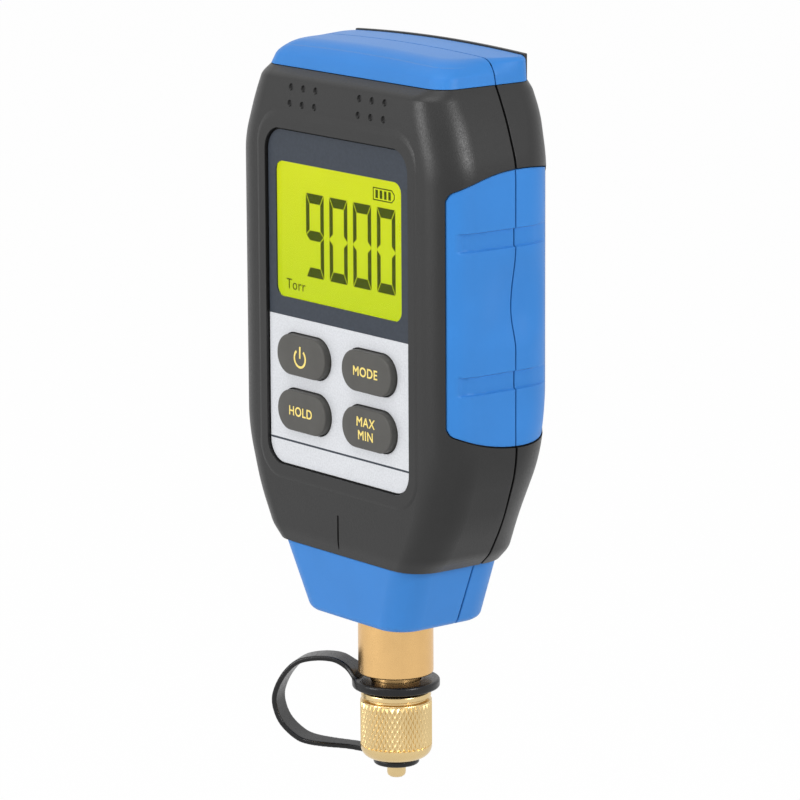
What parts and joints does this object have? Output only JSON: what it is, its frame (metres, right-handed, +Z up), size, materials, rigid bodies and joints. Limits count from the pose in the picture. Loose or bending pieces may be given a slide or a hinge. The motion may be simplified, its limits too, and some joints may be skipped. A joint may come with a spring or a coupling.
{
  "type": "handheld vacuum gauge",
  "caption": "Handheld vacuum gauge with a lit display, oval keys, soft side grips and a brass flare port closed by a knurled cap on a rubber strap.",
  "frame": {"origin": "centre of the flare tip on the port's axis", "axes": "+Z up the port into the case, the display faces -Y, +X to the right of someone who reads the display"},
  "size_m": [0.0724, 0.0333, 0.1573],
  "materials": {
    "case_black": "hard plastic with a fine moulded grain",
    "soft_blue": "soft-touch satin rubber",
    "dark_label": "printed film, satin",
    "silver_label": "silver printed film, satin",
    "clear_window": "clear polished plastic",
    "lit_display": "yellow-green lit display",
    "light_guide": "milky light guide",
    "white_frame": "white moulded plastic",
    "contact_rubber": "layered conductive rubber",
    "key_rubber": "dark silicone, satin",
    "mat_rubber": "silicone, matt",
    "board": "glass-fibre board with green lacquer",
    "chip": "moulded black resin",
    "steel": "zinc-plated steel",
    "cell": "metal can in a printed sleeve",
    "spring_steel": "nickel-plated spring strip",
    "brass": "turned, satin",
    "sealing_glass": "sealing glass",
    "wire": "fine bright wire",
    "black_rubber": "moulded black rubber",
    "ribbon": "amber film with printed tracks"
  },
  "bodies": {
    "root": {"front_shell": "case_black", "rear_shell": "case_black", "front_top_bumper": "soft_blue", "rear_top_bumper": "soft_blue", "front_left_grip": "soft_blue", "front_right_grip": "soft_blue", "rear_left_grip": "soft_blue", "rear_right_grip": "soft_blue", "front_collar": "soft_blue", "rear_collar": "soft_blue", "display_label": "dark_label", "key_label": "silver_label", "display_window": "clear_window", "display_glass": "lit_display", "backlight": "light_guide", "display_frame": "white_frame", "contact_strip": "contact_rubber", "keypad_mat": "mat_rubber", "circuit_board": "board", "controller_chip": "chip", "board_screws": "steel", "battery_cells": "cell", "battery_contacts": "spring_steel", "battery_door": "case_black", "door_screw": "steel", "case_screws": "steel", "port_stem": "brass", "sensor_header": "steel", "header_glass": "sealing_glass", "filament": "wire", "header_seal": "black_rubber", "retaining_ring": "brass", "sensor_ribbon": "ribbon", "cap_strap": "black_rubber"},
    "power_key": {"power_key": "key_rubber"},
    "mode_key": {"mode_key": "key_rubber"},
    "hold_key": {"hold_key": "key_rubber"},
    "range_key": {"range_key": "key_rubber"},
    "gasket": {"cap_gasket": "black_rubber"},
    "cap": {"closing_cap": "brass"}
  },
  "joints": [
    {"name": "power_press", "type": "slide", "parent": "root", "child": "power_key", "axis": [0, 1, 0], "range_m": [0, 0.001], "stiffness_N_per_m": 1600},
    {"name": "mode_press", "type": "slide", "parent": "root", "child": "mode_key", "axis": [0, 1, 0], "range_m": [0, 0.001], "stiffness_N_per_m": 1600},
    {"name": "hold_press", "type": "slide", "parent": "root", "child": "hold_key", "axis": [0, 1, 0], "range_m": [0, 0.001], "stiffness_N_per_m": 1600},
    {"name": "range_press", "type": "slide", "parent": "root", "child": "range_key", "axis": [0, 1, 0], "range_m": [0, 0.001], "stiffness_N_per_m": 1600},
    {"name": "cap_travel", "type": "slide", "parent": "root", "child": "gasket", "axis": [0, 0, -1], "range_m": [0, 0.00762], "deforming": ["cap_strap"]},
    {"name": "cap_turn", "type": "hinge", "parent": "gasket", "child": "cap", "pos_m": [0, 0, 0], "axis": [0, 0, -1], "range_deg": [0, 2161]}
  ],
  "couplings": [
    {"joint": "cap_turn", "follows": "cap_travel", "rad_per_m": 4947.4}
  ]
}
